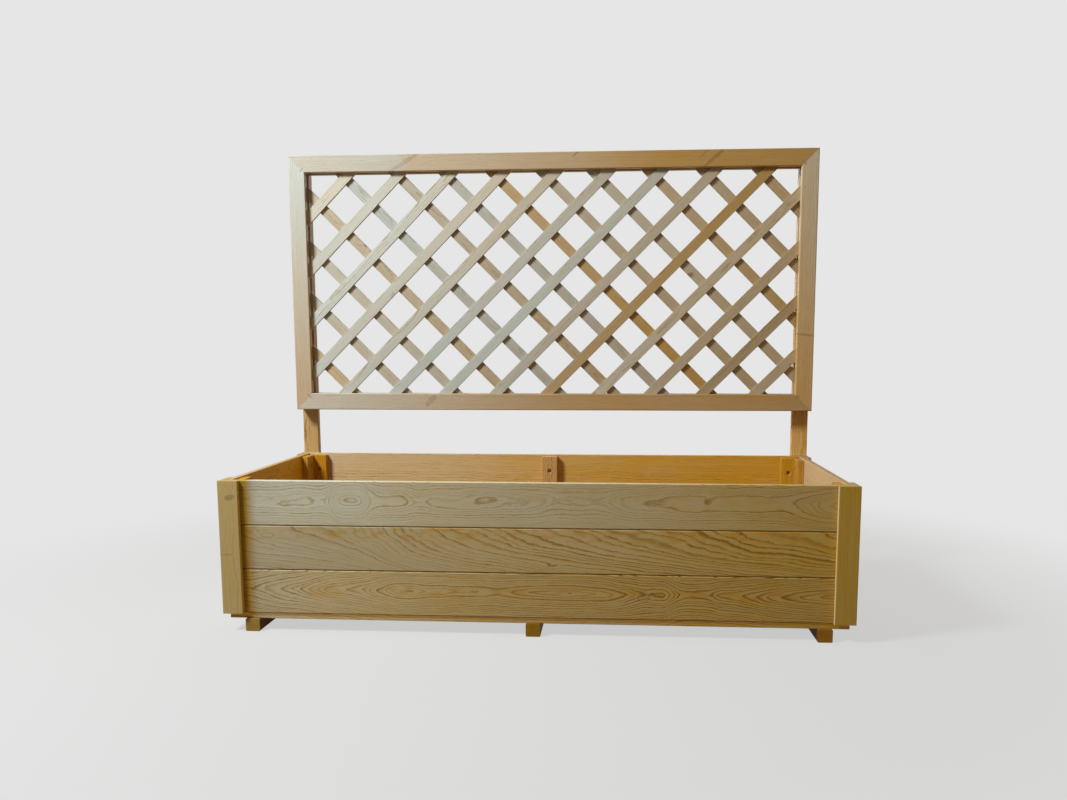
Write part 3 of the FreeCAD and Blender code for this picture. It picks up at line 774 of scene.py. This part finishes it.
class PLANTER_OT_back_boards(bpy.types.Operator):
    """Finish the three boards of the back wall"""

    bl_idname = "planter.back_boards"
    bl_label = "Back boards"

    def execute(self, context):
        timber("back_board_top", Cut(
            ALONG_X, 41, warmth=((-600, 0.4), (-200, 0.64), (200, 0.92), (600, 1.0)),
            # painted light on the inner face
            tone=1.05, face=((0, -1, 0), 0.13, 0.26), ring=3.0, depth=28, across=-60,
            swing=16, red=0.15, rosy=0.5))
        timber("back_board_middle", Cut(
            ALONG_X, 43, warmth=0.78, tone=1.05, rosy=0.8, ring=3.0, depth=35, across=8,
            swing=14))
        timber("back_board_bottom", Cut(
            ALONG_X, 47, warmth=0.72, tone=1.05, rosy=0.8, ring=3.6, depth=30, across=-14))
        return {"FINISHED"}


class PLANTER_OT_side_boards(bpy.types.Operator):
    """Finish the boards of both side walls"""

    bl_idname = "planter.side_boards"
    bl_label = "Side boards"

    def execute(self, context):
        chance = random.Random(5)
        # Painted light and shade on the inner face of each side wall.
        sides = (("left", (1, 0, 0), 0.4, 0.38, 51), ("right", (-1, 0, 0), -0.12, 0.32, 62))
        for side, inward, warm, tone, first in sides:
            # The left boards are redder to paint the warm shade inside the left wall.
            tint = {"red": 0.4} if side == "left" else {"rosy": 0.8}
            for number, level in enumerate(("bottom", "middle", "top")):
                timber(f"{side}_board_{level}", Cut(
                    ALONG_Y, first + number * 3, warmth=0.7 + 0.04 * number,
                    face=(inward, warm, tone), figure=0.45, ring=chance.uniform(2.8, 4.2),
                    depth=chance.uniform(8, 45), across=chance.uniform(-40, 40),
                    swing=chance.uniform(8, 22), wander=150, **tint))
        return {"FINISHED"}


class PLANTER_OT_trims(bpy.types.Operator):
    """Finish the flat trims on the four corners"""

    bl_idname = "planter.trims"
    bl_label = "Corner trims"

    def execute(self, context):
        # Painted warm light on the left trim's shaded inner side, and a painted highlight on
        # the right trim's inner side.
        timber("front_trim_left", Cut(
            UPRIGHT, 61, warmth=0.74, tone=0.94, face=((1, 0, 0), 0.45, 0.5), ring=2.8,
            depth=45, across=26, swing=8, figure=0.2,
            knots=(Knot(98, -4, 9.0, 0.55, 5.0, 0.5, -0.15),
                   Knot(-13, 8, 10.0, 0.14, 2.0, 0.35))))
        timber("front_trim_right", Cut(
            UPRIGHT, 62, warmth=1.05, face=((-1, 0, 0), -0.5, 0.45), ring=2.2,
            depth=8, across=60, swing=5, figure=0.3))
        for number, name in enumerate(("rear_trim_left", "rear_trim_right")):
            timber(name, Cut(UPRIGHT, 63 + number, warmth=0.75, ring=2.6, depth=30,
                             across=20 - 50 * number, swing=10))
        for number, name in enumerate(("side_trim_front_left", "side_trim_front_right",
                                       "side_trim_rear_left", "side_trim_rear_right")):
            timber(name, Cut(UPRIGHT_ON_SIDE, 66 + number, warmth=0.7, ring=2.8,
                             depth=35, across=-30 + 19 * number, swing=9))
        return {"FINISHED"}


class PLANTER_OT_bearers(bpy.types.Operator):
    """Finish the three bearers under the box"""

    bl_idname = "planter.bearers"
    bl_label = "Bearers"

    def execute(self, context):
        sawn = {"swing": 5, "sheen": 0.06}
        # Painted shade on the side face of each bearer that shows from the front.
        timber("bearer_left", Cut(
            ALONG_Y, 71, warmth=0.90, tone=0.72, red=0.2, face=((1, 0, 0), 0.4, -0.6),
            ring=2.4, depth=22, across=-4, **sawn))
        timber("bearer_centre", Cut(
            ALONG_Y, 72, warmth=1.03, tone=0.61, red=0.5, face=((1, 0, 0), 0.4, -0.6),
            ring=2.7, depth=30, across=10, **sawn))
        timber("bearer_right", Cut(
            ALONG_Y, 73, warmth=0.98, tone=0.62, red=1.1, face=((-1, 0, 0), 0.4, -0.7),
            ring=2.2, depth=18, across=6, **sawn))
        return {"FINISHED"}


class PLANTER_OT_floor_boards(bpy.types.Operator):
    """Finish the planks of the floor"""

    bl_idname = "planter.floor_boards"
    bl_label = "Floor boards"

    def execute(self, context):
        timber("floor_boards", Cut(FLAT, 81, warmth=0.85, tone=0.9, ring=3.4,
                                   depth=26, across=6, swing=18, repeat=(100.5, 50.0)))
        return {"FINISHED"}


class PLANTER_OT_battens(bpy.types.Operator):
    """Finish the battens inside the box"""

    bl_idname = "planter.battens"
    bl_label = "Battens"

    def execute(self, context):
        timber("front_battens", Cut(UPRIGHT, 91, warmth=0.85, ring=2.6, depth=24,
                                    across=12, swing=7, repeat=(552.0, 0.0)))
        timber("back_batten_left", Cut(
            UPRIGHT, 92, warmth=1.1, tone=0.96, red=0.7, ring=2.4, depth=16, across=14,
            swing=8))
        timber("back_batten_centre", Cut(
            UPRIGHT, 93, warmth=0.95, tone=1.1, rosy=1.0, red=0.3, ring=2.2, depth=30,
            across=-20, swing=6))
        timber("back_batten_right", Cut(
            UPRIGHT, 94, warmth=1.1, tone=1.15, red=0.3, ring=2.4, depth=12, across=22,
            swing=6))
        for number, name in enumerate(("side_batten_front_left", "side_batten_front_right",
                                       "side_batten_rear_left", "side_batten_rear_right")):
            timber(name, Cut(UPRIGHT_ON_SIDE, 95 + number, warmth=1.05, red=0.6, ring=2.4,
                             depth=20, across=-18 + 12 * number, swing=7))
        return {"FINISHED"}


class PLANTER_OT_posts(bpy.types.Operator):
    """Finish the two flat posts"""

    bl_idname = "planter.posts"
    bl_label = "Posts"

    def execute(self, context):
        timber("post_left", Cut(UPRIGHT, 101, warmth=0.92, tone=1.05, rosy=0.8, ring=2.6,
                                depth=20, across=18, swing=10, wander=260))
        # The right post is painted lighter against the shade that falls on it under the
        # trellis.
        timber("post_right", Cut(UPRIGHT, 102, warmth=0.98, tone=1.6, rosy=0.8, ring=2.8,
                                 depth=26, across=-22, swing=12, wander=260))
        return {"FINISHED"}


class PLANTER_OT_trellis_frame(bpy.types.Operator):
    """Finish the four members of the trellis frame"""

    bl_idname = "planter.trellis_frame"
    bl_label = "Trellis frame"

    def execute(self, context):
        # Painted warm shade on the top rail's underside and the stiles' inner faces; the
        # bottom rail's lit top face is painted a little cooler.
        timber("trellis_top_rail", Cut(
            ALONG_X, 111, rosy=1.0, ring=2.4, depth=10, across=42, swing=9, wander=300,
            figure=0.4, face=((0, 0, -1), 0.8, 0.1),
            warmth=((-600, 0.02), (-400, 0.10), (-345, 0.14), (-315, 0.46), (-100, 0.6),
                    (50, 0.72), (200, 0.92), (350, 1.06), (600, 1.05)),
            tone=((-600, 0.97), (50, 0.96), (250, 0.92), (350, 0.94), (600, 0.96)),
            knots=(Knot(-330, 0, 24.0, 0.32, 8.0, 0.3, 1.65),
                   Knot(62, 14, 6.0, 0.5, 4.0, 0.6, 1.2),
                   Knot(371, 2, 20.0, 0.26, 8.0, 0.5, 1.1),
                   Knot(350, 12, 10.0, 0.3, 4.0, 0.3, 1.1))))
        timber("trellis_bottom_rail", Cut(
            ALONG_X, 112, rosy=1.0, ring=2.5, depth=14, across=-45, swing=8, wander=300,
            figure=0.4, face=((0, 0, 1), -0.1, 0.0),
            warmth=((-600, 0.08), (-400, 0.22), (-250, 0.40), (-100, 0.64), (50, 0.78),
                    (200, 0.88), (350, 0.9), (600, 0.86)),
            tone=((-600, 1.12), (-250, 1.05), (0, 0.97), (300, 0.98), (600, 1.0)),
            knots=(Knot(-278, 3, 12.0, 0.6, 6.0, 0.3, 0.8),)))
        timber("trellis_left_stile", Cut(
            UPRIGHT, 113, warmth=0.20, slope=-1.4, face=((1, 0, 0), 1.0, -0.2), red=0.3,
            rosy=0.8, ring=2.4, depth=12, across=36, swing=8, figure=0.4))
        timber("trellis_right_stile", Cut(
            UPRIGHT, 114, warmth=0.66, slope=-0.85, tone=1.24, face=((-1, 0, 0), 0.2, 0.0),
            rosy=0.8, ring=2.6, depth=14, across=-40, swing=8, figure=0.5,
            knots=(Knot(-118, 2, 17.0, 0.15, 4.0, 0.4, 0.1),)))
        return {"FINISHED"}


class PLANTER_OT_slats(bpy.types.Operator):
    """Finish both layers of slats"""

    bl_idname = "planter.slats"
    bl_label = "Slats"

    def execute(self, context):
        chance = random.Random(120)
        layers = (("front", RISING, FRONT_SLATS, 120, -1, (HALF, 0, -HALF)),
                  ("back", FALLING, BACK_SLATS, 160, 1, (-HALF, 0, -HALF)))
        for layer, grain, looks, first, step, under in layers:
            # Painted warm shade on the undersides of the slats.
            shared = {"slope": 0.5, "rosy": 0.8, "face": (under, 0.9, -0.35),
                      "swing": 8, "figure": 0.5}
            middle = looks[4:9][::step]
            timber(f"{layer}_slats_full_length", Cut(
                grain, first, warmth=0.0, ring=2.2, depth=14, across=12,
                repeat=(SLAT_PITCH, 0.0), drift=[warm for warm, _ in middle],
                tones=[tone for _, tone in middle], **shared))
            for side, short in (("left", looks[3::-1]), ("right", looks[9:])):
                for number, (warm, tone) in enumerate(short, start=1):
                    name = f"{layer}_slat_{side}_{number}"
                    timber(name, Cut(
                        grain, first + 3 * number + (side == "right") * 13, warmth=warm,
                        tone=tone, ring=chance.uniform(1.8, 2.8),
                        depth=chance.uniform(6, 24), across=chance.uniform(-24, 24),
                        knots=SLAT_KNOTS.get(name, ()), **shared))
        return {"FINISHED"}


def steel_material():
    """Dull zinc plate on steel."""
    material, w = new_material("dull_zinc")
    stains_per_metre = (900.0,) * 3
    stained, clean = (0.09, 0.07, 0.05, 1.0), (0.30, 0.27, 0.22, 1.0)
    place = w.put("ShaderNodeTexCoord").outputs["Object"]
    stain = w.noise(w.vectors("MULTIPLY", place, stains_per_metre), detail=3.0)
    stain_edge = (0.35, 0.7)
    colour = w.mix(w.step(stain, *stain_edge), stained, clean)
    shader = w.put("ShaderNodeBsdfPrincipled")
    shader.inputs["Metallic"].default_value = 1.0
    w.feed(shader.inputs["Base Color"], colour)
    w.feed(shader.inputs["Roughness"], w.span(stain, 0.0, 1.0, 0.6, 0.35))
    w.feed(w.put("ShaderNodeOutputMaterial").inputs["Surface"], shader.outputs[0])
    return material


class PLANTER_OT_fastenings(bpy.types.Operator):
    """Finish the screws and the staples"""

    bl_idname = "planter.fastenings"
    bl_label = "Screws and staples"

    def execute(self, context):
        steel = steel_material()
        for name in ("batten_screws", "post_screws", "floor_screws", "corner_staples"):
            dress(name, steel)
        return {"FINISHED"}


# ---- studio -----------------------------------------------------------------

def lamp(name, place, target, size, power, colour):
    """Soft square lamp aimed at a point."""
    data = bpy.data.lights.new(name, "AREA")
    data.shape = "SQUARE"
    data.size = size
    data.energy = power
    data.color = colour
    item = bpy.data.objects.new(name, data)
    item.location = place
    item.rotation_euler = (Vector(target) - Vector(place)).to_track_quat("-Z", "Y").to_euler()
    item.visible_camera = False
    bpy.context.scene.collection.objects.link(item)


def seen_directly(w):
    """One for rays that show the background itself or its reflection."""
    rays = w.put("ShaderNodeLightPath").outputs
    seen = w.maths("MAXIMUM", rays["Is Camera Ray"], rays["Is Glossy Ray"])
    return w.maths("MAXIMUM", seen, rays["Is Transmission Ray"])


def build_room(studio):
    """World light, with the plain backdrop colour where it is seen."""
    world = bpy.data.worlds.new("Studio room")
    bpy.context.scene.world = world
    world.use_nodes = True
    world.node_tree.nodes.clear()
    w = Wiring(world.node_tree)
    warm_white = (1.0, 0.79, 0.52, 1.0)
    light = w.put("ShaderNodeBackground")
    light.inputs["Color"].default_value = warm_white
    light.inputs["Strength"].default_value = studio.ambient
    shown = w.put("ShaderNodeBackground")
    shown.inputs["Color"].default_value = (*studio.backdrop, 1.0)
    shown.inputs["Strength"].default_value = 1.0
    mixer = w.put("ShaderNodeMixShader")
    w.feed(mixer.inputs[0], seen_directly(w))
    w.feed(mixer.inputs[1], light.outputs[0])
    w.feed(mixer.inputs[2], shown.outputs[0])
    w.feed(w.put("ShaderNodeOutputWorld").inputs["Surface"], mixer.outputs[0])


def build_floor(studio):
    """Pale floor that fades into the backdrop away from the planter."""
    mesh = bpy.data.meshes.new("studio_floor")
    reach = 14.0
    corners = [(-reach, -reach, 0), (reach, -reach, 0), (reach, reach, 0), (-reach, reach, 0)]
    mesh.from_pydata(corners, [], [(0, 1, 2, 3)])
    floor = bpy.data.objects.new("studio_floor", mesh)
    bpy.context.scene.collection.objects.link(floor)
    material, w = new_material("pale_floor")
    place = w.put("ShaderNodeTexCoord").outputs["Object"]
    near, far, least = 0.75, 1.7, 0.72
    bounced, shown = (0.30, 0.25, 0.19, 1.0), (0.60, 0.60, 0.60, 1.0)
    distance = w.put("ShaderNodeVectorMath", operation="LENGTH")
    w.feed(distance.inputs[0], place)
    seen = seen_directly(w)
    fade = w.step(distance.outputs["Value"], near, far, least, 1.0)
    fade = w.maths("MULTIPLY", fade, seen)
    pale = w.mix(seen, bounced, shown)
    matt = w.put("ShaderNodeBsdfDiffuse")
    w.feed(matt.inputs["Color"], pale)
    glow = w.put("ShaderNodeEmission")
    glow.inputs["Color"].default_value = (*studio.backdrop, 1.0)
    mixer = w.put("ShaderNodeMixShader")
    w.feed(mixer.inputs[0], fade)
    w.feed(mixer.inputs[1], matt.outputs[0])
    w.feed(mixer.inputs[2], glow.outputs[0])
    w.feed(w.put("ShaderNodeOutputMaterial").inputs["Surface"], mixer.outputs[0])
    mesh.materials.append(material)


def build_camera():
    """Camera right of the middle, level with the lower part of the trellis."""
    place = Vector((0.15794, -1.71734, 0.54482))
    yaw, pitch, roll = 0.061, 0.112, 0.001
    forward = Vector((-math.sin(yaw) * math.cos(pitch), math.cos(yaw) * math.cos(pitch),
                      -math.sin(pitch)))
    level = Vector((math.cos(yaw), math.sin(yaw), 0))
    down = forward.cross(level)
    right = math.cos(roll) * level + math.sin(roll) * down
    up = -(math.cos(roll) * down - math.sin(roll) * level)
    data = bpy.data.cameras.new("Photo view")
    data.sensor_width = 36.0
    data.lens = 27.627
    data.shift_x = -0.03198
    data.shift_y = 0.03808
    camera = bpy.data.objects.new("Photo view", data)
    turn = Matrix((right, up, -forward)).transposed().to_4x4()
    camera.matrix_world = Matrix.Translation(place) @ turn
    bpy.context.scene.collection.objects.link(camera)
    bpy.context.scene.camera = camera


class PLANTER_OT_stage(bpy.types.Operator):
    """Set up the floor, the lamps, the room light and the camera"""

    bl_idname = "planter.stage"
    bl_label = "Stage"

    def execute(self, context):
        scene = context.scene
        scene.view_settings.view_transform = "Standard"
        studio = scene.planter_studio
        build_room(studio)
        build_floor(studio)
        lamp("Key lamp", place=(-1.5, -1.05, 1.95), target=(0.0, 0.1, 0.45), size=0.5,
             power=studio.key_power, colour=(0.93, 0.985, 1.0))
        lamp("Rear lamp", place=(-0.2, 2.9, 1.3), target=(0.0, 0.2, 0.4), size=1.5,
             power=studio.rear_power, colour=(1.0, 0.97, 0.92))
        build_camera()
        return {"FINISHED"}


STEPS = (
    PLANTER_OT_front_boards,
    PLANTER_OT_back_boards,
    PLANTER_OT_side_boards,
    PLANTER_OT_trims,
    PLANTER_OT_bearers,
    PLANTER_OT_floor_boards,
    PLANTER_OT_battens,
    PLANTER_OT_posts,
    PLANTER_OT_trellis_frame,
    PLANTER_OT_slats,
    PLANTER_OT_fastenings,
    PLANTER_OT_stage,
)


class PLANTER_PT_sidebar(bpy.types.Panel):
    """Lists the steps that finish the planter"""

    bl_idname = "PLANTER_PT_sidebar"
    bl_label = "Planter"
    bl_space_type = "VIEW_3D"
    bl_region_type = "UI"
    bl_category = "Planter"

    def draw(self, context):
        layout = self.layout
        timber_box = layout.box()
        for name in ("straw", "gold", "straw_line", "gold_line", "knot", "bump", "arris"):
            timber_box.prop(context.scene.planter_timber, name)
        studio_box = layout.box()
        for name in ("key_power", "rear_power", "ambient", "backdrop"):
            studio_box.prop(context.scene.planter_studio, name)
        for step in STEPS:
            layout.operator(step.bl_idname, text=step.bl_label)


CLASSES = (PlanterTimber, PlanterStudio, *STEPS, PLANTER_PT_sidebar)


def register():
    """Register the classes and the settings."""
    for item in CLASSES:
        bpy.utils.register_class(item)
    bpy.types.Scene.planter_timber = PointerProperty(type=PlanterTimber)
    bpy.types.Scene.planter_studio = PointerProperty(type=PlanterStudio)


def unregister():
    """Remove the settings and the classes."""
    del bpy.types.Scene.planter_studio
    del bpy.types.Scene.planter_timber
    for item in reversed(CLASSES):
        bpy.utils.unregister_class(item)


def main():
    """Finish every piece."""
    register()
    build_effects()
    for step in STEPS:
        group, name = step.bl_idname.split(".")
        getattr(getattr(bpy.ops, group), name)()


if __name__ == "__main__":
    main()
